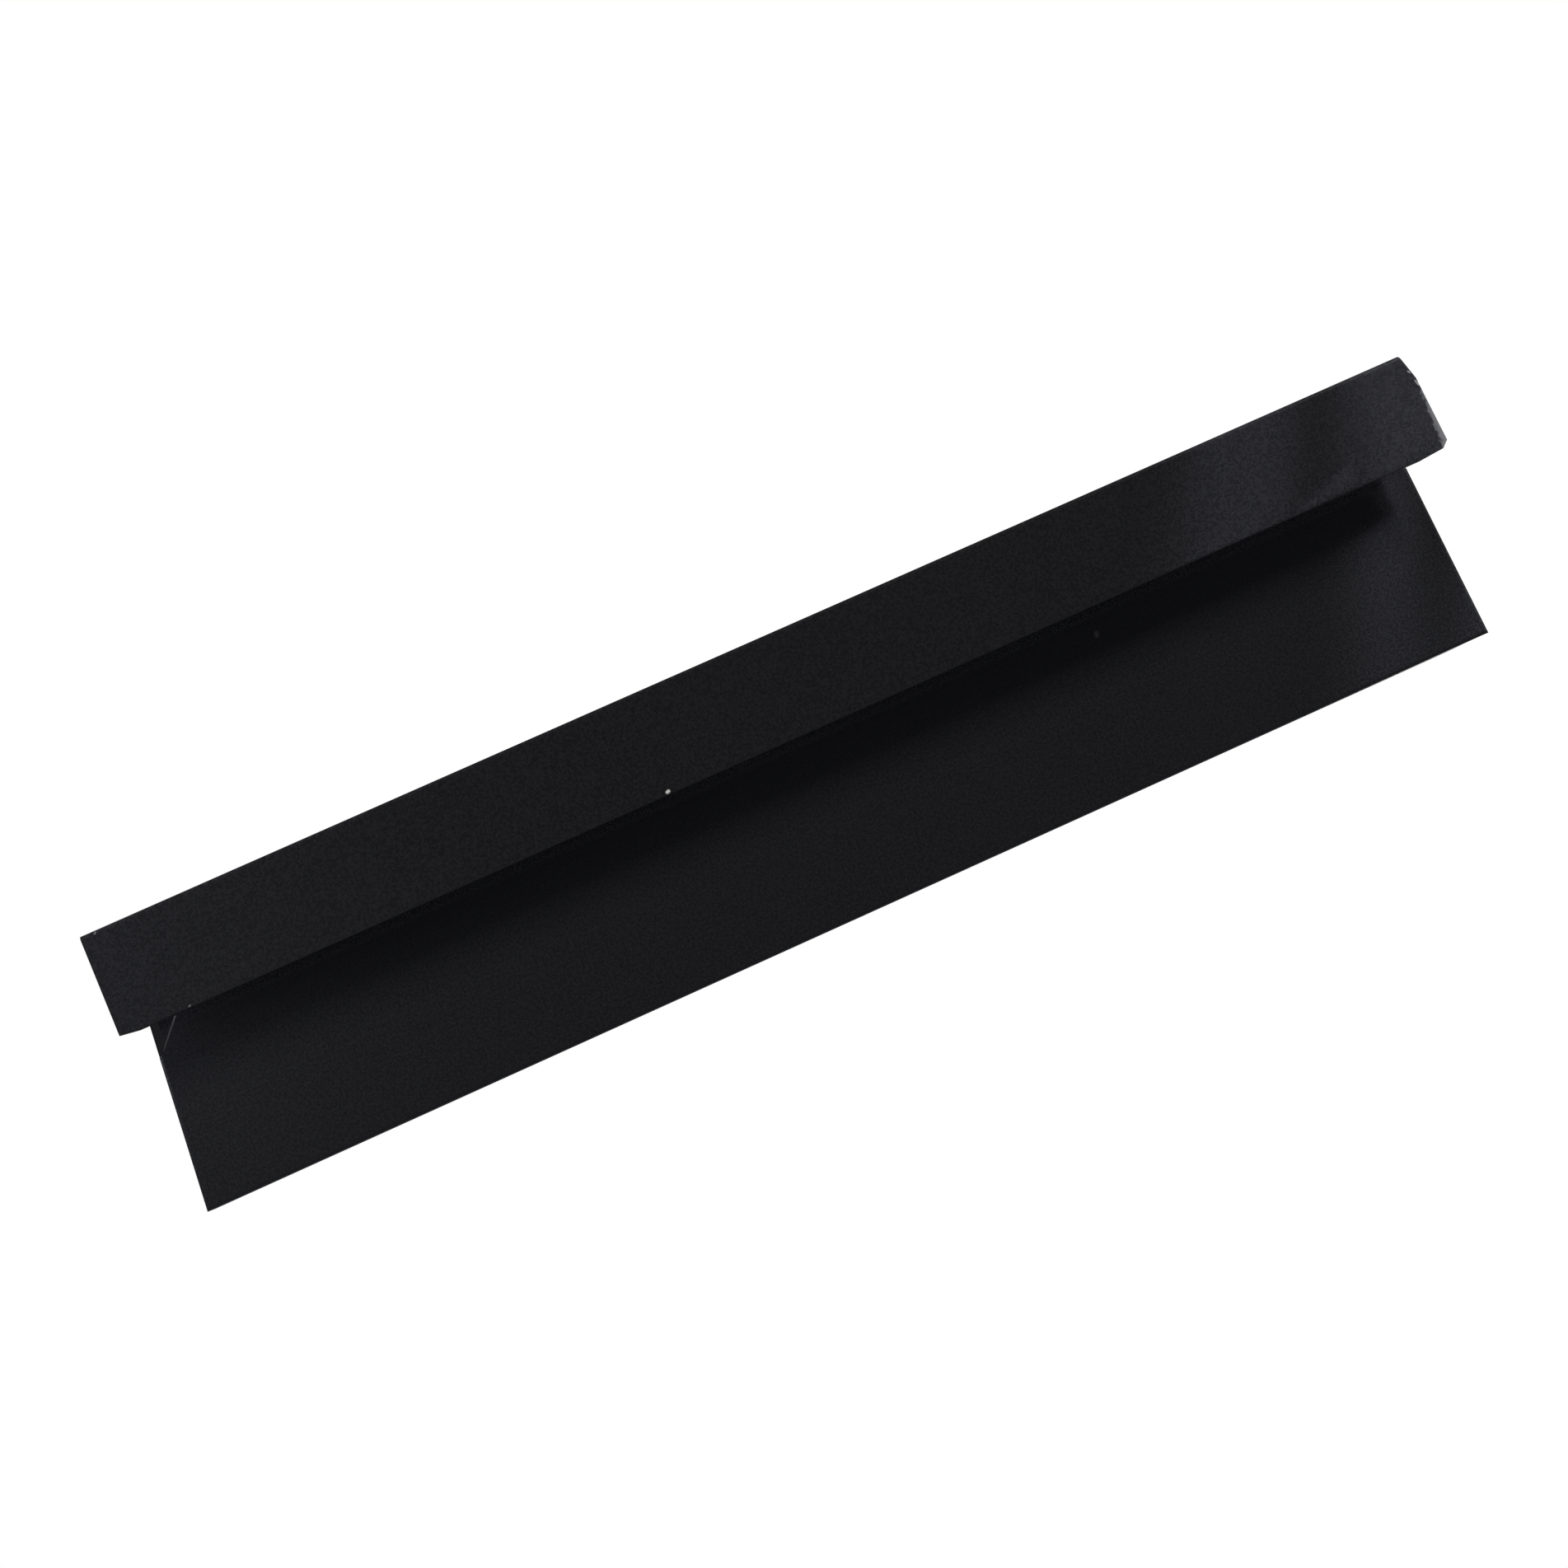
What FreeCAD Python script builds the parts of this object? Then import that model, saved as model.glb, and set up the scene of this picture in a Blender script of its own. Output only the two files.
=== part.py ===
"""Two-piece toe kick plate: a hemmed channel fascia and a height-adjustable folded panel behind it.

Frame, in millimetres: +X runs along the plate, +Y points to the rear and +Z up. The origin is on the
fascia's top face, midway between the two mounting slots.
"""
import FreeCAD, Part
import math
import os
import re
import Sketcher

# Driving dimensions, in millimetres.
DIMENSIONS = {
    # the sheet that both pieces are folded from
    "sheet": 1.0,
    "bend": 2.0,
    "inner_bend": 1.0,
    "fillet_margin": 0.05,
    # the fascia, an inverted channel
    "fascia_length": 606.0,
    "fascia_height": 45.3,
    "front_inset": 8.5,
    "hem_height": 9.0,
    "hem_gap": 0.3,
    "ear_rise": 1.2,
    "top_clip_width": 2.6,
    "top_clip_height": 11.8,
    "low_clip_width": 4.2,
    "low_clip_height": 3.7,
    "leg_overlap": 15.0,
    "leg_left": 292.0,
    "leg_right": 286.2,
    "hem_left": 294.8,
    "hem_right": 288.2,
    "ear_web_depth": 6.0,
    # the lower panel, an open-backed tray
    "step_depth": 15.0,
    "slide_gap": 0.2,
    "panel_drop": 77.9,
    "panel_overlap": 33.0,
    "panel_left_low": 302.2,
    "panel_left_high": 293.0,
    "panel_right": 289.0,
    "return_depth": 12.0,
    "side_overlap": 3.0,
    "chamfer_start": 295.8,
    "chamfer_foot": 12.0,
    "chamfer_slope": 1.16,
    "seam": 0.6,
    "seam_lift": 0.2,
    "relief_radius": 1.1,
    # the four adjusting points
    "station_spacing": 155.0,
    "station_lift": 21.0,
    "travel": 8.0,
    "slot_radius": 2.25,
    # the two mounting slots in the top
    "mount_spacing": 524.0,
    "mount_radius": 2.25,
    "mount_slot": 10.0,
    # M4 fasteners
    "nut_radius": 4.0,
    "nut_height": 2.0,
    "nut_edge": 0.35,
    "nut_shank_radius": 2.7,
    "nut_shank_recess": 0.05,
    "nut_bore_radius": 2.0,
    "nut_hole_radius": 2.72,
    "screw_radius": 1.95,
    "screw_length": 8.0,
    "screw_tip": 0.5,
    "head_radius": 4.0,
    "head_height": 3.1,
    "head_dome": 1.7,
    "recess_width": 0.9,
    "recess_length": 4.4,
    "recess_depth": 1.7,
    "washer_gap": 0.1,
    "flat_radius": 4.5,
    "flat_bore_radius": 2.15,
    "flat_thickness": 0.8,
    "spring_radius": 3.8,
    "spring_bore_radius": 2.05,
    "spring_thickness": 1.0,
    "spring_slit": 0.7,
    # how far a cutting outline runs past the material
    "beyond": 5.0,
}
STATIONS = 4
# The least volume, in cubic millimetres, that a pocket has to take away.
LEAST_CUT = 0.001

doc = FreeCAD.newDocument("KickPlate")
sheet = doc.addObject("Spreadsheet::Sheet", "Dimensions")
for row, (alias, size) in enumerate(DIMENSIONS.items(), start=1):
    sheet.set(f"A{row}", alias)
    sheet.set(f"B{row}", str(size))
    sheet.setAlias(f"B{row}", alias)
doc.recompute()

# Heights and depths that several pieces share, as formulas of the driving dimensions.
LIP = "-fascia_height"
LIP_ABOVE = "(ear_rise - fascia_height)"
PANEL_FRONT = "(step_depth - front_inset)"
PANEL_REAR = "(step_depth - front_inset + sheet)"
LEG_FRONT = "(step_depth - front_inset + sheet + slide_gap)"
LEG_REAR = "(step_depth - front_inset + 2 * sheet + slide_gap)"
PANEL_TOP = "(panel_overlap - fascia_height)"
PANEL_BOTTOM = "(-fascia_height - panel_drop)"
STATION_HEIGHT = "(station_lift - fascia_height)"
FIRST_STATION = f"(-station_spacing * {STATIONS - 1} / 2)"


def bound(formula):
    """The formula with each alias written as the sheet's cell."""
    return re.sub(r"[a-z]+(_[a-z]+)*", name_of_cell, formula)


def name_of_cell(match):
    word = match.group(0)
    return f"Dimensions.{word}" if word in DIMENSIONS else word


def value(formula):
    """The formula's number now."""
    return float(sheet.evalExpression(bound(formula)))


def new_body(name):
    body = doc.addObject("PartDesign::Body", name)
    body.Label = name
    return body


def new_sketch(body, name, plane, lift=None):
    """An empty sketch on one of the body's own origin planes, lifted along the plane's normal."""
    sketch = body.newObject("Sketcher::SketchObject", name)
    support = next(item for item in body.Origin.OriginFeatures if item.Role == plane)
    sketch.AttachmentSupport = [(support, "")]
    sketch.MapMode = "FlatFace"
    if lift:
        sketch.setExpression("AttachmentOffset.Base.z", bound(lift))
    return sketch


def hold(sketch, kind, references, formula):
    """Adds one dimension to the sketch and binds it to the sheet."""
    index = sketch.addConstraint(Sketcher.Constraint(kind, *references, value(formula)))
    sketch.setExpression(f"Constraints[{index}]", bound(formula))


def draw_outline(sketch, corners):
    """Straight lines through corners, closed. Each corner is a pair of formulas, across and up."""
    points = [FreeCAD.Vector(value(across), value(up), 0) for across, up in corners]
    first = sketch.GeometryCount
    for start, end in zip(points, points[1:] + points[:1]):
        sketch.addGeometry(Part.LineSegment(start, end), False)
    count = len(corners)
    for step, (across, up) in enumerate(corners):
        line = first + step
        following = first + (step + 1) % count
        sketch.addConstraint(Sketcher.Constraint("Coincident", line, 2, following, 1))
        hold(sketch, "DistanceX", (-1, 1, line, 1), across)
        hold(sketch, "DistanceY", (-1, 1, line, 1), up)


def draw_circle(sketch, across, up, radius):
    centre = FreeCAD.Vector(value(across), value(up), 0)
    index = sketch.addGeometry(Part.Circle(centre, FreeCAD.Vector(0, 0, 1), value(radius)), False)
    hold(sketch, "DistanceX", (-1, 1, index, 3), across)
    hold(sketch, "DistanceY", (-1, 1, index, 3), up)
    hold(sketch, "Radius", (index,), radius)


def draw_slot(sketch, start, end, radius):
    """A slot with round ends. Each end is the centre of its arc, as a pair of formulas."""
    centres = [FreeCAD.Vector(value(across), value(up), 0) for across, up in (start, end)]
    upright = FreeCAD.Vector(0, 0, 1)
    along = (centres[1] - centres[0]).normalize()
    aside = FreeCAD.Vector(-along.y, along.x, 0) * value(radius)
    turn = math.atan2(along.y, along.x) + math.pi / 2
    first_end, last_end = (Part.Circle(centre, upright, value(radius)) for centre in centres)
    first = sketch.GeometryCount
    sketch.addGeometry(Part.ArcOfCircle(first_end, turn, turn + math.pi), False)
    sketch.addGeometry(Part.LineSegment(centres[0] - aside, centres[1] - aside), False)
    sketch.addGeometry(Part.ArcOfCircle(last_end, turn - math.pi, turn), False)
    sketch.addGeometry(Part.LineSegment(centres[1] + aside, centres[0] + aside), False)
    for step in range(4):
        following = first + (step + 1) % 4
        joint = (first + step, 2, following, 1)
        sketch.addConstraint(Sketcher.Constraint("Tangent", *joint))
    for arc, (across, up) in ((first, start), (first + 2, end)):
        hold(sketch, "DistanceX", (-1, 1, arc, 3), across)
        hold(sketch, "DistanceY", (-1, 1, arc, 3), up)
    hold(sketch, "Radius", (first,), radius)


def extrude(body, kind, name, sketch, length, symmetric=False, backwards=False):
    """A pad or pocket of the sketch; a pocket has to take material away."""
    before = body.Shape.Volume if kind == "Pocket" else None
    feature = body.newObject(f"PartDesign::{kind}", name)
    feature.Profile = sketch
    feature.SideType = "Symmetric" if symmetric else "One side"
    feature.Reversed = backwards
    feature.setExpression("Length", bound(length))
    doc.recompute()
    if before is not None and feature.Shape.Volume > before - LEAST_CUT:
        raise RuntimeError(f"{name} cuts nothing")
    return feature


def round_edges(body, name, feature, chosen, radius):
    """Rounds the feature's edges that chosen(start, end) picks."""
    edges = []
    for number, edge in enumerate(feature.Shape.Edges, start=1):
        if len(edge.Vertexes) == 2 and chosen(edge.Vertexes[0].Point, edge.Vertexes[1].Point):
            edges.append(f"Edge{number}")
    if not edges:
        raise RuntimeError(f"{name} found no edge")
    fillet = body.newObject("PartDesign::Fillet", name)
    fillet.Base = (feature, edges)
    fillet.setExpression("Radius", bound(radius))
    doc.recompute()
    return fillet


def near(first, second, tolerance=0.01):
    return abs(first - second) < tolerance


def repeat_along_x(body, name, feature, sketch, count, spacing):
    """Repeats a feature along the sketch's horizontal axis."""
    pattern = body.newObject("PartDesign::LinearPattern", name)
    pattern.Originals = [feature]
    pattern.Direction = (sketch, ["H_Axis"])
    pattern.setExpression("Length", bound(f"{spacing} * {count - 1}"))
    pattern.Occurrences = count
    body.Tip = pattern
    doc.recompute()
    return pattern


def runs_along_x(start, end, depth, height):
    """True for an edge parallel to X at this depth and height."""
    level = near(start.y, end.y) and near(start.z, end.z)
    return level and near(start.y, depth) and near(start.z, height)


def build_upper_fascia():
    """An inverted channel: hemmed front, top web and rear leg, folded from one sheet."""
    body = new_body("upper_fascia")
    front = "(-front_inset)"
    inside = "(sheet - front_inset)"
    hem_front = "(sheet + hem_gap - front_inset)"
    hem_rear = "(2 * sheet + hem_gap - front_inset)"
    hem_top = "(hem_height - fascia_height)"
    leg_bottom = "(-fascia_height - leg_overlap)"
    fold = "(sheet - fascia_height)"
    top = "0"
    under = "(-sheet)"
    section = new_sketch(body, "FasciaSection", "YZ_Plane")
    draw_outline(section, [
        (front, top), (front, LIP), (hem_rear, LIP), (hem_rear, hem_top), (hem_front, hem_top),
        (hem_front, fold), (inside, fold), (inside, under), (LEG_FRONT, under),
        (LEG_FRONT, leg_bottom), (LEG_REAR, leg_bottom), (LEG_REAR, top),
    ])
    channel = extrude(body, "Pad", "Channel", section, "fascia_length", symmetric=True)

    def outer_bend(start, end):
        depths = (value(front), value(LEG_REAR))
        return any(runs_along_x(start, end, depth, 0) for depth in depths)

    def inner_bend(start, end):
        depths = (value(inside), value(LEG_FRONT))
        return any(runs_along_x(start, end, depth, value(under)) for depth in depths)

    def hem_bend(start, end):
        depths = (value(front), value(hem_rear))
        return any(runs_along_x(start, end, depth, value(LIP)) for depth in depths)

    bent = round_edges(body, "OuterBends", channel, outer_bend, "bend")
    bent = round_edges(body, "InnerBends", bent, inner_bend, "inner_bend")
    round_edges(body, "HemBend", bent, hem_bend, "sheet + hem_gap / 2 - fillet_margin")

    # The rear leg and its bend stop short of both ends.
    past_end = "(fascia_length / 2 + beyond)"
    past_rear = f"({LEG_REAR} + beyond)"
    for side, sign, leg_end in (("Left", "-1", "leg_left"), ("Right", "1", "leg_right")):
        relief = new_sketch(body, f"LegRelief{side}", "XY_Plane", "beyond")
        outer = f"{sign} * {past_end}"
        inner = f"{sign} * {leg_end}"
        draw_outline(relief, [
            (outer, "ear_web_depth"), (outer, past_rear), (inner, past_rear), (inner, "ear_web_depth"),
        ])
        extrude(body, "Pocket", f"LegEnd{side}", relief, "fascia_height + leg_overlap + 2 * beyond")

    # The hem stops at the ears, which are single sheet. Each ear's lower edge is sheared, and rises a
    # little towards the end.
    for side, sign, hem_end in (("Left", "-1", "hem_left"), ("Right", "1", "hem_right")):
        relief = new_sketch(body, f"HemRelief{side}", "XY_Plane", "(hem_height - fascia_height + sheet)")
        outer = f"{sign} * {past_end}"
        inner = f"{sign} * {hem_end}"
        draw_outline(relief, [(outer, inside), (outer, "0"), (inner, "0"), (inner, inside)])
        extrude(body, "Pocket", f"HemEnd{side}", relief, "hem_height + sheet + beyond")

        shear = new_sketch(body, f"EarShear{side}", "XZ_Plane")
        end = f"{sign} * fascia_length / 2"
        below = f"({LIP} - beyond)"
        draw_outline(shear, [
            (inner, LIP), (end, LIP_ABOVE), (outer, LIP_ABOVE), (outer, below), (inner, below),
        ])
        extrude(body, "Pocket", f"EarEdge{side}", shear, "front_inset + beyond", backwards=True)

    # Both corners of the right end are clipped.
    end = "(fascia_length / 2)"
    clips = (("Top", "0", "beyond", "-", "top_clip"), ("Low", LIP, f"({LIP} - beyond)", "+", "low_clip"))
    for place, corner, past_corner, inward, size in clips:
        clip = new_sketch(body, f"{place}CornerClip", "XZ_Plane", f"-{past_rear}")
        foot = f"({corner} {inward} {size}_height)"
        head = f"({end} - {size}_width)"
        draw_outline(clip, [
            (end, foot), (head, corner), (head, past_corner), (past_end, past_corner), (past_end, foot),
        ])
        depth = f"{past_rear} + front_inset + beyond"
        extrude(body, "Pocket", f"{place}Corner", clip, depth, backwards=True)

    # Two slots in the top web, for the screws that hold the kick plate up.
    mounting = new_sketch(body, "MountingSlot", "XY_Plane", "beyond")
    reach = "(mount_slot / 2 - mount_radius)"
    draw_slot(mounting, (f"(-mount_spacing / 2 - {reach})", "0"),
              (f"(-mount_spacing / 2 + {reach})", "0"), "mount_radius")
    first_slot = extrude(body, "Pocket", "FirstMountingSlot", mounting, "2 * beyond")
    repeat_along_x(body, "MountingSlots", first_slot, mounting, 2, "mount_spacing")

    # Four upright slots in the rear leg, which set how far the lower panel can be raised or lowered.
    adjusting = new_sketch(body, "HeightSlot", "XZ_Plane", f"-{past_rear}")
    draw_slot(adjusting, (FIRST_STATION, f"({STATION_HEIGHT} - travel)"),
              (FIRST_STATION, f"({STATION_HEIGHT} + travel)"), "slot_radius")
    slot_depth = "beyond + 2 * sheet"
    height_slot = extrude(body, "Pocket", "FirstHeightSlot", adjusting, slot_depth, backwards=True)
    repeat_along_x(body, "HeightSlots", height_slot, adjusting, STATIONS, "station_spacing")
    return body


def build_lower_panel():
    """A tray open at the back and top: face, bottom return and two side returns, folded from one sheet."""
    body = new_body("lower_panel")
    left_low = "(-panel_left_low)"
    left_high = "(-panel_left_high)"
    right = "panel_right"
    lean = "((panel_left_low - panel_left_high) / (panel_drop + panel_overlap))"
    wall = f"(sheet * sqrt(1 + {lean} * {lean}))"
    face = new_sketch(body, "PanelFace", "XZ_Plane", f"-{PANEL_FRONT}")
    draw_outline(face, [
        (left_low, PANEL_BOTTOM), (right, PANEL_BOTTOM), (right, PANEL_TOP), (left_high, PANEL_TOP),
    ])
    block = extrude(body, "Pad", "PanelBlock", face, "return_depth", backwards=True)

    def outer_bend(start, end):
        in_front = near(start.y, value(PANEL_FRONT)) and near(end.y, value(PANEL_FRONT))
        along_top = near(start.z, value(PANEL_TOP)) and near(end.z, value(PANEL_TOP))
        return in_front and not along_top

    bent = round_edges(body, "OuterBends", block, outer_bend, "bend")

    past_rear = f"({PANEL_FRONT} + return_depth + beyond)"
    hollow = new_sketch(body, "PanelHollow", "XZ_Plane", f"-{past_rear}")
    inner_low = f"({wall} + sheet * {lean} - panel_left_low)"
    inner_high = f"({wall} + beyond * {lean} - panel_left_high)"
    inner_right = f"({right} - sheet)"
    inner_bottom = f"({PANEL_BOTTOM} + sheet)"
    above = f"({PANEL_TOP} + beyond)"
    draw_outline(hollow, [
        (inner_low, inner_bottom), (inner_right, inner_bottom), (inner_right, above), (inner_high, above),
    ])
    hollow_depth = "return_depth - sheet + beyond"
    tray = extrude(body, "Pocket", "PanelInside", hollow, hollow_depth, backwards=True)

    def inner_bend(start, end):
        at_face = near(start.y, value(PANEL_REAR)) and near(end.y, value(PANEL_REAR))
        return at_face and min(start.z, end.z) < value(PANEL_TOP) - value("sheet")

    round_edges(body, "InnerBends", tray, inner_bend, "inner_bend")

    # Above the fascia's lip the side returns stop, and the flat face goes up alone.
    side_top = f"({LIP} + side_overlap)"
    past_left = "(-panel_left_low - beyond)"
    past_right = "(panel_right + beyond)"
    sides = new_sketch(body, "SideReturnTops", "XZ_Plane", f"-{past_rear}")
    for outer, inner in ((past_left, "(bend - panel_left_high)"), (past_right, f"({right} - bend)")):
        draw_outline(sides, [(outer, side_top), (inner, side_top), (inner, above), (outer, above)])
    extrude(body, "Pocket", "SideReturnCut", sides, f"{past_rear} + beyond", backwards=True)

    # The face's top left corner is cut off; the side return behind it is left standing.
    corner = new_sketch(body, "FaceCorner", "XZ_Plane", f"-({PANEL_FRONT} + bend)")
    foot = "(-fascia_height - chamfer_foot)"
    rise = "(panel_overlap + chamfer_foot + beyond)"
    draw_outline(corner, [
        (past_left, foot), ("(-chamfer_start)", foot),
        (f"({rise} / chamfer_slope - chamfer_start)", above), (past_left, above),
    ])
    extrude(body, "Pocket", "FaceCornerCut", corner, "bend + beyond", backwards=True)

    # At each bottom corner a round relief and a seam part the side return from the bottom return.
    relief_height = f"({PANEL_BOTTOM} + bend + seam_lift)"
    relief_depth = f"({PANEL_FRONT} + bend + relief_radius)"
    seam_low = f"({relief_height} - seam / 2)"
    seam_high = f"({relief_height} + seam / 2)"
    inside_left = f"(beyond * {lean} + bend - panel_left_low)"
    inside_right = f"({right} - bend)"
    for side, inside, outward in (("Left", inside_left, False), ("Right", inside_right, True)):
        relief = new_sketch(body, f"CornerRelief{side}", "YZ_Plane", inside)
        draw_circle(relief, relief_depth, relief_height, "relief_radius")
        extrude(body, "Pocket", f"CornerHole{side}", relief, "bend + beyond", backwards=outward)
        seam = new_sketch(body, f"CornerSeam{side}", "YZ_Plane", inside)
        draw_outline(seam, [
            (relief_depth, seam_low), (past_rear, seam_low),
            (past_rear, seam_high), (relief_depth, seam_high),
        ])
        extrude(body, "Pocket", f"CornerSlit{side}", seam, "bend + beyond", backwards=outward)

    # Holes for the clinch nuts, high on the face where the fascia hides them.
    nut_hole = new_sketch(body, "NutHole", "XZ_Plane", f"-{past_rear}")
    draw_circle(nut_hole, FIRST_STATION, STATION_HEIGHT, "nut_hole_radius")
    first_hole = extrude(body, "Pocket", "FirstNutHole", nut_hole, past_rear, backwards=True)
    repeat_along_x(body, "NutHoles", first_hole, nut_hole, STATIONS, "station_spacing")
    return body


def cut_disc(body, name, lift, radius, length):
    """Cuts a round hole down from this height."""
    sketch = new_sketch(body, f"{name}_outline", "XY_Plane", lift)
    draw_circle(sketch, "0", "0", radius)
    return extrude(body, "Pocket", name, sketch, length)


def add_disc(body, name, lift, radius, length):
    """Adds a round boss up from this height."""
    sketch = new_sketch(body, f"{name}_outline", "XY_Plane", lift)
    draw_circle(sketch, "0", "0", radius)
    return extrude(body, "Pad", name, sketch, length)


def round_rim(body, name, feature, height, radius):
    """Rounds the outermost circular edge at this height."""
    rims = [(edge.Curve.Radius, number) for number, edge in enumerate(feature.Shape.Edges, start=1)
            if isinstance(edge.Curve, Part.Circle) and near(edge.Curve.Center.z, value(height))]
    fillet = body.newObject("PartDesign::Fillet", name)
    fillet.Base = (feature, [f"Edge{max(rims)[1]}"])
    fillet.setExpression("Radius", bound(radius))
    doc.recompute()
    return fillet


def build_clinch_nut(name):
    """A round self-clinching nut: its collar bears on the panel and its shank sits in the panel's hole."""
    body = new_body(name)
    collar = add_disc(body, f"{name}_collar", "(-nut_height)", "nut_radius", "nut_height")
    round_rim(body, f"{name}_edge", collar, "(-nut_height)", "nut_edge")
    add_disc(body, f"{name}_shank", "0", "nut_shank_radius", "(sheet - nut_shank_recess)")
    cut_disc(body, f"{name}_bore", "beyond", "nut_bore_radius", "nut_height + 2 * beyond")
    return body


def build_adjusting_screw(name):
    """A pan head screw with a cross recess; its head is up and its shank hangs below the origin."""
    body = new_body(name)
    shank = add_disc(body, f"{name}_shank", "(-screw_length)", "screw_radius", "screw_length")
    round_rim(body, f"{name}_tip", shank, "(-screw_length)", "screw_tip")
    head = add_disc(body, f"{name}_head", "0", "head_radius", "head_height")
    round_rim(body, f"{name}_dome", head, "head_height", "head_dome")
    recess = new_sketch(body, f"{name}_cross", "XY_Plane", "head_height")
    near_side, far_side = "recess_width / 2", "recess_length / 2"
    corners = [(near_side, far_side), (near_side, near_side), (far_side, near_side)]
    quarters = [("", ""), ("", "-"), ("-", "-"), ("-", "")]
    outline = []
    for turn, (across_sign, up_sign) in enumerate(quarters):
        ordered = corners if turn % 2 == 0 else corners[::-1]
        outline += [(f"{across_sign}{across}", f"{up_sign}{up}") for across, up in ordered]
    draw_outline(recess, outline)
    extrude(body, "Pocket", f"{name}_recess", recess, "recess_depth")
    return body


def build_washer(name, radius, bore, thickness):
    body = new_body(name)
    add_disc(body, f"{name}_disc", "0", radius, thickness)
    cut_disc(body, f"{name}_bore", "beyond", bore, "2 * beyond")
    return body


def build_flat_washer(name):
    return build_washer(name, "flat_radius", "flat_bore_radius", "flat_thickness")


def build_spring_washer(name):
    """A split washer, pressed flat, with its slit cut aslant through one side."""
    body = build_washer(name, "spring_radius", "spring_bore_radius", "spring_thickness")
    slit = new_sketch(body, f"{name}_slit", "XZ_Plane")
    draw_outline(slit, [
        ("(-spring_slit)", "0"), ("0", "0"), ("spring_slit", "spring_thickness"),
        ("0", "spring_thickness"),
    ])
    extrude(body, "Pocket", f"{name}_split", slit, "spring_radius + beyond", backwards=True)
    return body


def place_on_station(body, station, depth):
    """Turns a fastener's axis to point to the rear and puts it on one of the adjusting points."""
    facing_rear = FreeCAD.Rotation(FreeCAD.Vector(1, 0, 0), -90)
    body.Placement = FreeCAD.Placement(FreeCAD.Vector(), facing_rear)
    body.setExpression("Placement.Base.x", bound(f"{FIRST_STATION} + {station} * station_spacing"))
    body.setExpression("Placement.Base.y", bound(depth))
    body.setExpression("Placement.Base.z", bound(STATION_HEIGHT))
    return body


def build_station(station):
    """The nut, screw and washers of one adjusting point, from front to rear."""
    behind_leg = f"({LEG_REAR} + washer_gap)"
    behind_flat = f"({LEG_REAR} + washer_gap + flat_thickness)"
    behind_spring = f"({LEG_REAR} + washer_gap + flat_thickness + spring_thickness)"
    stack = (
        ("clinch_nut", build_clinch_nut, PANEL_FRONT),
        ("flat_washer", build_flat_washer, behind_leg),
        ("spring_washer", build_spring_washer, behind_flat),
        ("adjusting_screw", build_adjusting_screw, behind_spring),
    )
    return [place_on_station(build(f"{name}_{station + 1}"), station, depth)
            for name, build, depth in stack]


def check_document():
    """Stops if a feature failed or a piece has no valid solid."""
    for item in doc.Objects:
        if "Invalid" in item.State or "Error" in item.State:
            raise RuntimeError(f"{item.Name} is {item.State}")
    for piece in pieces:
        shape = piece.Shape
        if shape.isNull() or not shape.isValid() or len(shape.Solids) != 1:
            raise RuntimeError(f"{piece.Label} is not one valid solid")


pieces = [build_upper_fascia(), build_lower_panel()]
for station in range(STATIONS):
    pieces += build_station(station)
doc.recompute()
check_document()
os.makedirs("parts", exist_ok=True)
for piece in pieces:
    piece.Shape.exportStep(f"parts/{piece.Label}.step")
    box = piece.Shape.optimalBoundingBox()
    size = f"{box.XLength:.1f} x {box.YLength:.1f} x {box.ZLength:.1f} mm"
    print(f"{piece.Label}: {piece.Shape.Volume:.1f} mm3, {size}")
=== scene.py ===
"""Looks of the two-piece toe kick plate: worn black powder coat with two painted highlights, zinc fasteners,
light and camera.
"""
import math

import bpy
from mathutils import Matrix, Quaternion, Vector


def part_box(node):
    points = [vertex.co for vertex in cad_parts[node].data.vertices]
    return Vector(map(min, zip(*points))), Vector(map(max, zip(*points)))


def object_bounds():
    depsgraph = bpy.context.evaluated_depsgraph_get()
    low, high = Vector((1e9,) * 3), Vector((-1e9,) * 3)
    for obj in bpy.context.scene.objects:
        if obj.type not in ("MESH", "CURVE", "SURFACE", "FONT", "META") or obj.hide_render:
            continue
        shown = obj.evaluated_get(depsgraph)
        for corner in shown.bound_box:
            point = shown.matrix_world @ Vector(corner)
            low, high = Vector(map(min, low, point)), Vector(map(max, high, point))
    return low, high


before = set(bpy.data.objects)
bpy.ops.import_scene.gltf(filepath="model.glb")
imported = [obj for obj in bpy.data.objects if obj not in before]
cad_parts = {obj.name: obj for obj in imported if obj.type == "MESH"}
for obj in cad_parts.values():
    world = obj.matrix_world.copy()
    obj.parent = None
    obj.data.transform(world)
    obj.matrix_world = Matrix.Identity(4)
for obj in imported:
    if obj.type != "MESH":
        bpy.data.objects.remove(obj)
cad_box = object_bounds()

MM = 0.001
WHITE = (1.0, 1.0, 1.0, 1.0)
STATIONS = range(1, 5)

# Places on the CAD model that the looks are set out from, in metres.
fascia_low, fascia_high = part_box("upper_fascia")
front, leg_rear = fascia_low.y, fascia_high.y
panel_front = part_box("lower_panel")[0].y
screw_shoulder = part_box("spring_washer_1")[1].y
lip = min(v.co.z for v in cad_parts["upper_fascia"].data.vertices if v.co.y < front + 2 * MM)
middle = (cad_box[0] + cad_box[1]) / 2


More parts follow.
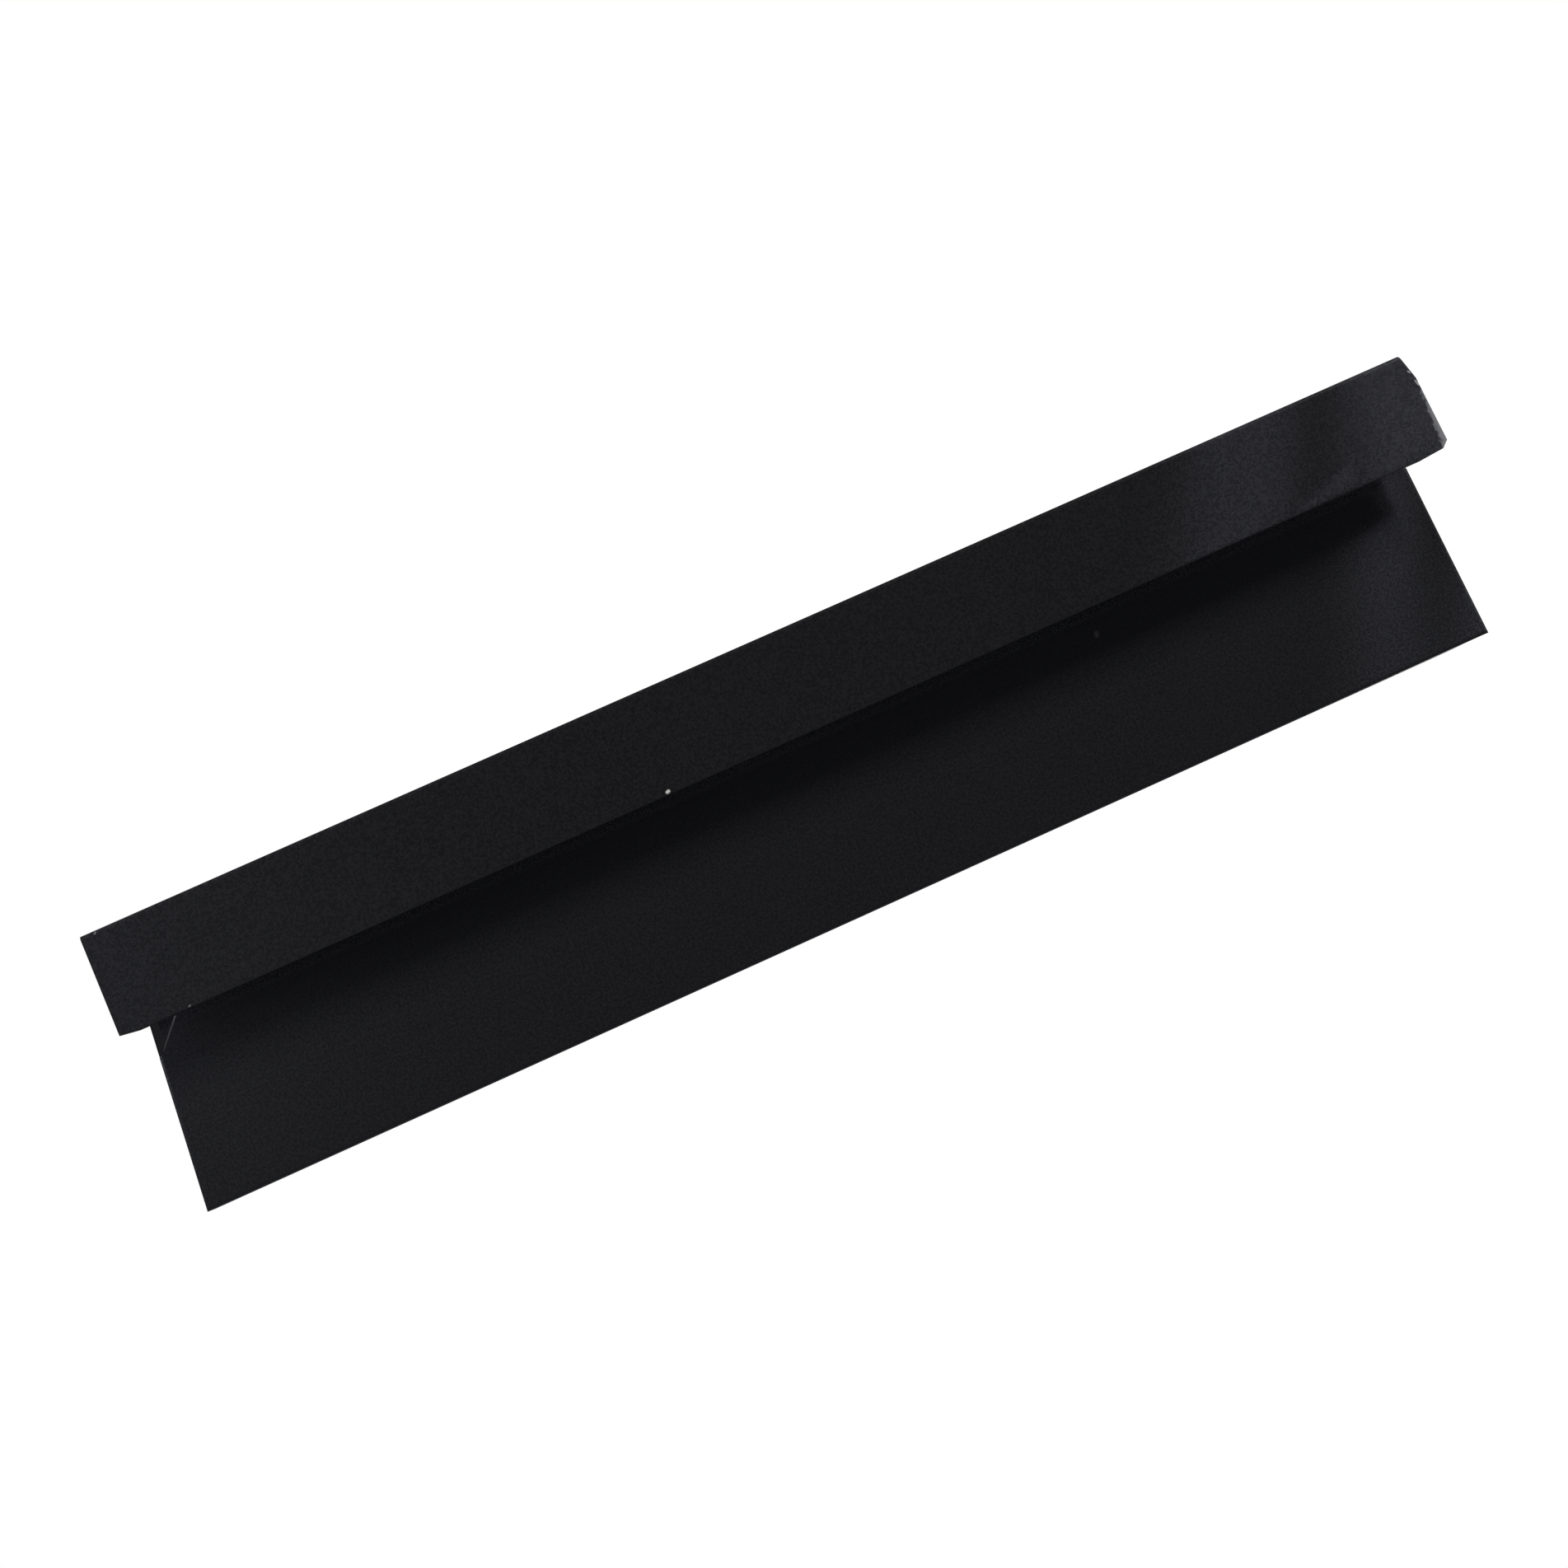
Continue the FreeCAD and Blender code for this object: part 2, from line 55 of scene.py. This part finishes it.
# ---------------------------------------------------------------- node helpers
class Shader:
    """A material's node tree, with short calls for the few nodes that the looks need."""

    def __init__(self, name):
        self.material = bpy.data.materials.new(name)
        self.material.use_nodes = True
        self.tree = self.material.node_tree
        self.surface = self.tree.nodes["Principled BSDF"]
        self.place = self.add("ShaderNodeTexCoord").outputs["Object"]

    def add(self, kind, **settings):
        node = self.tree.nodes.new(kind)
        for name, setting in settings.items():
            setattr(node, name, setting)
        return node

    def feed(self, socket, source):
        """Puts a number, colour or another node's output into a socket."""
        if isinstance(source, bpy.types.NodeSocket):
            self.tree.links.new(source, socket)
        else:
            socket.default_value = source

    def math(self, operation, first, second=0.0):
        node = self.add("ShaderNodeMath", operation=operation)
        self.feed(node.inputs[0], first)
        self.feed(node.inputs[1], second)
        return node.outputs[0]

    def ramp(self, source, start, end, low=0.0, high=1.0):
        """A smooth step from low to high as the source goes from start to end."""
        node = self.add("ShaderNodeMapRange", interpolation_type="SMOOTHSTEP")
        self.feed(node.inputs["Value"], source)
        for name, number in (("From Min", start), ("From Max", end), ("To Min", low), ("To Max", high)):
            node.inputs[name].default_value = number
        return node.outputs["Result"]

    def noise(self, size, detail=2.0, roughness=0.5, stretch=None):
        """Noise with features of about this size in metres, from 0 to 1."""
        node = self.add("ShaderNodeTexNoise")
        node.inputs["Scale"].default_value = 1.0 / size
        node.inputs["Detail"].default_value = detail
        node.inputs["Roughness"].default_value = roughness
        place = self.place
        if stretch:
            mapping = self.add("ShaderNodeMapping")
            mapping.inputs["Scale"].default_value = stretch
            self.feed(mapping.inputs["Vector"], place)
            place = mapping.outputs["Vector"]
        self.feed(node.inputs["Vector"], place)
        return node.outputs["Fac"]

    def depth(self):
        """How far to the rear the point lies, in metres."""
        split = self.add("ShaderNodeSeparateXYZ")
        self.feed(split.inputs[0], self.place)
        return split.outputs["Y"]

    def vector(self, operation, first, second, output="Vector"):
        node = self.add("ShaderNodeVectorMath", operation=operation)
        self.feed(node.inputs[0], first)
        self.feed(node.inputs["Scale" if operation == "SCALE" else 1], second)
        return node.outputs[output]

    def mark(self, start, end, radius, raggedness):
        """Cover of a mark between two points (worn coat, and on two of the marks painted highlights), from 0
        to 1, and how far along the mark the point is.
        """
        span = end - start
        offset = self.vector("SUBTRACT", self.place, start)
        share = self.vector("DOT_PRODUCT", offset, span / span.length_squared, "Value")
        along = self.math("MINIMUM", self.math("MAXIMUM", share, 0.0), 1.0)
        foot = self.vector("SCALE", span, along)
        distance = self.vector("DISTANCE", offset, foot, "Value")
        ragged = self.math("MULTIPLY", self.noise(RIM_NOISE_SIZE, detail=3.0), raggedness)
        rim = self.math("SUBTRACT", self.math("ADD", distance, ragged), raggedness / 2)
        return self.ramp(rim, radius * MARK_CORE, radius, 1.0, 0.0), along

    def mix(self, amount, low, high):
        """Mixes two numbers or two colours."""
        colour = not isinstance(low, (int, float))
        if isinstance(low, bpy.types.NodeSocket):
            colour = low.type == "RGBA"
        node = self.add("ShaderNodeMix", data_type="RGBA" if colour else "FLOAT")
        first, second, out = (6, 7, 2) if colour else (2, 3, 0)
        self.feed(node.inputs[0], amount)
        self.feed(node.inputs[first], low)
        self.feed(node.inputs[second], high)
        return node.outputs[out]

    def bump(self, height, depth, strength=1.0):
        node = self.add("ShaderNodeBump")
        node.inputs["Strength"].default_value = strength
        node.inputs["Distance"].default_value = depth
        self.feed(node.inputs["Height"], height)
        self.feed(self.surface.inputs["Normal"], node.outputs["Normal"])

    def set(self, name, source):
        self.feed(self.surface.inputs[name], source)


# ---------------------------------------------------------------- materials
GRAIN_SIZE, GRAIN_EDGES, GRAIN_GREYS = 1.1 * MM, (0.32, 0.68), (0.0080, 0.0205)
PEEL_SIZE, PEEL_SHARE = 2.4 * MM, 0.7
MOTTLE_SIZE, MOTTLE_SHARE, MOTTLE_GREY = 50 * MM, 0.3, 0.0170
COAT_ROUGHNESS, WORN_ROUGHNESS = (0.17, 0.23), 0.45
COAT_RELIEF, COAT_BUMP = 0.04 * MM, 0.6

ZINC_DULL, ZINC_BRIGHT = (0.50, 0.51, 0.52, 1.0), (0.66, 0.67, 0.68, 1.0)
ZINC_ROUGHNESS, ZINC_MOTTLE_SIZE, ZINC_RELIEF = (0.24, 0.38), 3.5 * MM, 0.08 * MM
SCUFF_SIZE, SCUFF_STRETCH, SCUFF_SHARE = 0.7 * MM, (1.0, 0.25, 1.0), 0.3
THREAD_PITCH, THREAD_RELIEF = 0.7 * MM, 0.22 * MM
THREAD_FADE_START, THREAD_FADE_END = 0.6 * MM, 0.2 * MM  # in front of the screws' heads

# Marks on the faces, worn into the coat except the two painted highlights: one end and the other (along the
# plate, above the lip), radius and raggedness of the rim, all in millimetres, then the grey at each end.
RIM_NOISE_SIZE, MARK_CORE = 2.2 * MM, 0.4
FASCIA_MARKS = {
    # painted highlight: a lighter strip along the bare right end, standing in for the light from the right
    # catching that edge
    "bare_end_painted_highlight": ((302.0, 1.5), (303.9, 26.0), 2.5, 5.0, 0.080, 0.050),
    "upper_chip": ((301.1, 37.4), (301.6, 36.6), 0.42, 0.2, 0.18, 0.14),
    "lower_chip": ((302.1, 32.6), (302.8, 30.4), 0.5, 0.6, 0.10, 0.20),
    # painted glint: a near-white spot on a bare chip at the lip, standing in for the light glinting off it
    "lip_chip_painted_glint": ((-60.4, 1.3), (-59.8, 1.5), 1.0, 0.0, 0.90, 0.90),
    "lip_nick": ((-272.9, 0.6), (-272.4, 0.9), 0.5, 0.1, 0.20, 0.25),
    "corner_tick": ((-296.8, 43.8), (-295.8, 45.0), 0.6, 0.3, 0.10, 0.25),
}
PANEL_MARKS = {
    "cut_corner": ((-293.6, -10.0), (-284.0, 1.2), 0.45, 0.1, 0.030, 0.110),
    "grey_speck": ((134.0, -10.3), (134.3, -9.1), 1.3, 0.6, 0.095, 0.085),
}
# Faint rubbing by a washer: how far it slides each way, radius and raggedness of the rim, grey at each end.
RUB_TRAVEL, RUB = 6 * MM, (6.5 * MM, 3 * MM, 0.050, 0.035)


def grey(level):
    """The black coat's slightly cool grey."""
    return (level, level, level * 1.03, 1.0)


def worn_and_highlight_grey(level):
    """The warm grey of rubbed coat, primer and dust, also used for the painted highlights on bare metal."""
    return (level, level * 0.97, level * 0.86, 1.0)


def on_sheet(depth, x, above_lip):
    """A point on a sheet's face, from millimetres along the plate and above the lip."""
    return Vector((x * MM, depth, lip + above_lip * MM))


def face_marks(depth, marks):
    """The marks on the sheet face at this depth, in metres."""
    return [(on_sheet(depth, *start), on_sheet(depth, *end), radius * MM, raggedness * MM, *greys)
            for start, end, radius, raggedness, *greys in marks.values()]


def slot_marks():
    """The rubbing round the four slots, where the washers slide on the rear leg, in metres."""
    rise = Vector((0, 0, RUB_TRAVEL))
    found = []
    for station in STATIONS:
        low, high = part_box(f"flat_washer_{station}")
        centre = (low + high) / 2
        contact = Vector((centre.x, leg_rear, centre.z))
        found.append((contact - rise, contact + rise, *RUB))
    return found


def coat_material(name, marks):
    """Black semi-gloss powder coat with fine grain, orange peel and faint mottling, and marks worn into it;
    two marks are painted highlights on bare metal.

    Each mark is its two ends, its radius, how ragged its rim is, and its grey at each end.
    """
    shader = Shader(name)
    mottle = shader.noise(MOTTLE_SIZE, detail=3.0)
    grain = shader.noise(GRAIN_SIZE, detail=2.0, roughness=0.6)
    peel = shader.noise(PEEL_SIZE, detail=1.0)

    dark, light = GRAIN_GREYS
    colour = shader.mix(shader.ramp(grain, *GRAIN_EDGES), grey(dark), grey(light))
    colour = shader.mix(shader.math("MULTIPLY", mottle, MOTTLE_SHARE), colour, grey(MOTTLE_GREY))
    bare = 0.0
    for start, end, radius, raggedness, first_grey, last_grey in marks:
        cover, along = shader.mark(start, end, radius, raggedness)
        colour = shader.mix(cover, colour, shader.mix(along, worn_and_highlight_grey(first_grey), worn_and_highlight_grey(last_grey)))
        bare = shader.math("MAXIMUM", bare, cover)
    shader.set("Base Color", colour)
    shader.set("Roughness", shader.mix(bare, shader.mix(mottle, *COAT_ROUGHNESS), WORN_ROUGHNESS))
    height = shader.math("ADD", shader.math("MULTIPLY", peel, PEEL_SHARE),
                         shader.math("MULTIPLY", grain, 1 - PEEL_SHARE))
    shader.bump(height, COAT_RELIEF, strength=COAT_BUMP)
    return shader.material


def zinc_material(name, threaded=False):
    """Bright zinc plating with faint mottling and scuffs; the screws also get thread lines on their shanks."""
    shader = Shader(name)
    mottle = shader.noise(ZINC_MOTTLE_SIZE, detail=3.0)
    scuff = shader.noise(SCUFF_SIZE, detail=2.0, stretch=SCUFF_STRETCH)
    shader.set("Base Color", shader.mix(mottle, ZINC_DULL, ZINC_BRIGHT))
    shader.set("Metallic", 1.0)
    shader.set("Roughness", shader.mix(mottle, *ZINC_ROUGHNESS))
    height = shader.math("MULTIPLY", scuff, SCUFF_SHARE)
    if threaded:
        depth = shader.depth()
        wave = shader.math("SINE", shader.math("MULTIPLY", depth, 2 * math.pi / THREAD_PITCH))
        shank = shader.ramp(
            depth, screw_shoulder - THREAD_FADE_START, screw_shoulder - THREAD_FADE_END, 1.0, 0.0)
        height = shader.math("ADD", height, shader.math("MULTIPLY", wave, shank))
    shader.bump(height, THREAD_RELIEF if threaded else ZINC_RELIEF)
    return shader.material


def give(node, material):
    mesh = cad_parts[node].data
    mesh.materials.clear()
    mesh.materials.append(material)


give("upper_fascia", coat_material("black_coat_fascia", face_marks(front, FASCIA_MARKS) + slot_marks()))
give("lower_panel", coat_material("black_coat_panel", face_marks(panel_front, PANEL_MARKS)))
zinc = zinc_material("zinc_plate")
threaded_zinc = zinc_material("zinc_plate_threaded", threaded=True)
for station in STATIONS:
    give(f"clinch_nut_{station}", zinc)
    give(f"flat_washer_{station}", zinc)
    give(f"spring_washer_{station}", zinc)
    give(f"adjusting_screw_{station}", threaded_zinc)


# ---------------------------------------------------------------- floor, light and camera
FLOOR_HALF, FLOOR_DROP = 40.0, 0.35

# The room's dim light: an even base, and along each axis a glow that grows from one point of the ray's
# direction to another, with its strength there.
ROOM_COLOUR = (0.88, 0.90, 1.0, 1.0)
ROOM_BASE = 0.042
ROOM_GLOW = (("Y", 0.35, -0.05, 0.030), ("X", -0.12, -0.42, 0.06), ("Z", -0.05, -0.45, 0.10))

# Soft lights: direction from the object, distance, width and height in metres, radiance, colour.
FRONT_SOFTBOXES = {
    "key": ((2.10, -1.0, 1.67), 6.0, 0.15, 2.1, 410.0, (0.975, 0.97, 1.0)),
    "left_bounce": ((-0.480, -0.085, 0.125), 0.50, 0.14, 0.14, 12.5, (0.80, 0.81, 1.0)),
}
REAR_SOFTBOXES = {
    "rear_right": ((0.90, 1.0, -0.32), 2.0, 0.8, 1.3, 2.6, (1.0, 0.98, 0.95)),
    "rear_left": ((-1.2, 1.0, 0.9), 2.0, 1.2, 1.2, 1.1, (1.0, 1.0, 1.0)),
}

# Patches of light on one sheet: the sheet, the two ends of the patch's left edge (along the plate, above the
# lip), its width and its radiance, then what sets it apart from a pane of window light. Metres and degrees.
BEAM_COLOUR = (0.80, 0.82, 1.0)
WINDOW_PANE = {"length": 0.20, "spread": 11.6, "direction": (2.10, -1.0, 1.20), "distance": 0.12}
BEAMS = {
    "fascia_pane": ("upper_fascia", (0.181, 0.010), (0.199, 0.042), 0.050, 2.0, {}),
    "fascia_pane_right": ("upper_fascia", (0.262, 0.008), (0.272, 0.042), 0.060, 2.8, {}),
    "hem_pane": ("upper_fascia", (0.230, 0.0), (0.234, 0.007), 0.026, 1.6, {"length": 0.005, "spread": 3.0}),
    "panel_pane": ("lower_panel", (0.226, -0.077), (0.250, -0.022), 0.030, 1.9, {}),
    "panel_pane_right": ("lower_panel", (0.275, -0.077), (0.291, -0.047), 0.035, 2.7, {}),
    "under_lip": ("lower_panel", (-0.285, -0.0022), (-0.285, 0.0040), 0.555, 0.34,
                  {"length": 0.0042, "spread": 6.0, "direction": (0.0, -1.0, -1.0), "distance": 0.03}),
}

# The camera: degrees, then metres and millimetres of focal length, and the point on the fascia's plane that
# it aims at, in millimetres along the plate and above the lip.
CAMERA_AZIMUTH, CAMERA_ELEVATION, CAMERA_ROLL = 3.455, 5.768, -24.391
CAMERA_DISTANCE, CAMERA_LENS, CAMERA_SENSOR = 0.750, 41.61, 36.0
CAMERA_AIM = (-15.0, -15.3)


def add_floor():
    """A plain white floor well below the hanging plate; it shows behind the object but doesn't light it."""
    size, drop = FLOOR_HALF, FLOOR_DROP
    mesh = bpy.data.meshes.new("floor")
    corners = [(-size, -size, -drop), (size, -size, -drop), (size, size, -drop), (-size, size, -drop)]
    mesh.from_pydata(corners, [], [(0, 1, 2, 3)])
    floor = bpy.data.objects.new("floor", mesh)
    bpy.context.scene.collection.objects.link(floor)
    material = bpy.data.materials.new("white_floor")
    material.use_nodes = True
    tree = material.node_tree
    tree.nodes.remove(tree.nodes["Principled BSDF"])
    glow = tree.nodes.new("ShaderNodeEmission")
    glow.inputs["Color"].default_value = WHITE
    glow.inputs["Strength"].default_value = 1.0
    tree.links.new(glow.outputs[0], tree.nodes["Material Output"].inputs["Surface"])
    mesh.materials.append(material)
    floor.visible_diffuse = False
    floor.visible_glossy = False
    floor.visible_shadow = False


def add_world():
    """White to the camera; to the object a dim room that is lighter in front, to the left and below."""
    world = bpy.data.worlds.new("studio")
    bpy.context.scene.world = world
    world.use_nodes = True
    tree = world.node_tree
    place = tree.nodes.new("ShaderNodeTexCoord")
    split = tree.nodes.new("ShaderNodeSeparateXYZ")
    tree.links.new(place.outputs["Generated"], split.inputs[0])
    total = None
    for letter, start, end, strength in ROOM_GLOW:
        part = tree.nodes.new("ShaderNodeMapRange")
        part.interpolation_type = "SMOOTHSTEP"
        tree.links.new(split.outputs[letter], part.inputs["Value"])
        for name, number in (("From Min", start), ("From Max", end), ("To Min", 0.0), ("To Max", strength)):
            part.inputs[name].default_value = number
        glow = part.outputs["Result"]
        if total is not None:
            plus = tree.nodes.new("ShaderNodeMath")
            tree.links.new(total, plus.inputs[0])
            tree.links.new(glow, plus.inputs[1])
            glow = plus.outputs[0]
        total = glow
    plus = tree.nodes.new("ShaderNodeMath")
    plus.inputs[1].default_value = ROOM_BASE
    tree.links.new(total, plus.inputs[0])
    room = tree.nodes["Background"]
    room.inputs["Color"].default_value = ROOM_COLOUR
    tree.links.new(plus.outputs[0], room.inputs["Strength"])
    backdrop = tree.nodes.new("ShaderNodeBackground")
    backdrop.inputs["Color"].default_value = WHITE
    backdrop.inputs["Strength"].default_value = 1.0
    rays = tree.nodes.new("ShaderNodeLightPath")
    mix = tree.nodes.new("ShaderNodeMixShader")
    tree.links.new(rays.outputs["Is Camera Ray"], mix.inputs[0])
    tree.links.new(room.outputs[0], mix.inputs[1])
    tree.links.new(backdrop.outputs[0], mix.inputs[2])
    tree.links.new(mix.outputs[0], tree.nodes["World Output"].inputs["Surface"])


def add_rectangle(name, location, rotation, width, height, radiance, colour):
    """A rectangular light that the camera doesn't see."""
    data = bpy.data.lights.new(name, "AREA")
    data.shape = "RECTANGLE"
    data.size, data.size_y = width, height
    data.energy = radiance * math.pi * width * height
    data.color = colour
    light = bpy.data.objects.new(name, data)
    light.location = location
    light.rotation_mode = "QUATERNION"
    light.rotation_quaternion = rotation
    light.visible_camera = False
    bpy.context.scene.collection.objects.link(light)
    return light


def add_softbox(name, direction, distance, width, height, radiance, colour):
    """A light that faces the middle of the object from this direction."""
    location = middle + Vector(direction).normalized() * distance
    rotation = (middle - location).to_track_quat("-Z", "Y")
    add_rectangle(name, location, rotation, width, height, radiance, colour)


def add_beam(name, node, low, high, width, radiance, differences):
    """A patch of even light on one sheet; its left edge climbs from the low point to the high one."""
    pane = {**WINDOW_PANE, **differences}
    toward = Vector(pane["direction"]).normalized()
    foot, head = (Vector((x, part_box(node)[0].y, lip + above)) for x, above in (low, high))
    edge = (head - foot) - toward * toward.dot(head - foot)
    along = edge.normalized()
    across = along.cross(toward)
    sideways = across.dot(Vector((width, 0, 0)))
    centre = (foot + head) / 2 + Vector((width / 2, 0, 0)) + toward * pane["distance"]
    turn = Matrix((across, along, toward)).transposed().to_quaternion()
    light = add_rectangle(name, centre, turn, abs(sideways), pane["length"], radiance, BEAM_COLOUR)
    light.data.spread = math.radians(pane["spread"])
    lit = bpy.data.collections.new(name + "_lights")
    lit.objects.link(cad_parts[node])
    light.light_linking.receiver_collection = lit


def add_camera():
    """Nearly square on to the front, a little from below and the left, rolled so that the plate climbs."""
    azimuth, elevation = math.radians(CAMERA_AZIMUTH), math.radians(CAMERA_ELEVATION)
    forward = Vector((math.sin(azimuth) * math.cos(elevation),
                      math.cos(azimuth) * math.cos(elevation),
                      math.sin(elevation)))
    data = bpy.data.cameras.new("camera")
    data.lens, data.sensor_width = CAMERA_LENS, CAMERA_SENSOR
    data.clip_start, data.clip_end = 0.01, 200.0
    camera = bpy.data.objects.new("camera", data)
    camera.location = on_sheet(front, *CAMERA_AIM) - forward * CAMERA_DISTANCE
    camera.rotation_mode = "QUATERNION"
    level = forward.to_track_quat("-Z", "Y")
    camera.rotation_quaternion = level @ Quaternion((0, 0, 1), math.radians(CAMERA_ROLL))
    bpy.context.scene.collection.objects.link(camera)
    bpy.context.scene.camera = camera


add_floor()
add_world()
add_camera()
for name, softbox in FRONT_SOFTBOXES.items():
    add_softbox(name, *softbox)
for name, beam in BEAMS.items():
    add_beam(name, *beam)
for name, softbox in REAR_SOFTBOXES.items():
    add_softbox(name, *softbox)

settings = bpy.context.scene.view_settings
settings.view_transform = "Standard"
settings.look = "None"
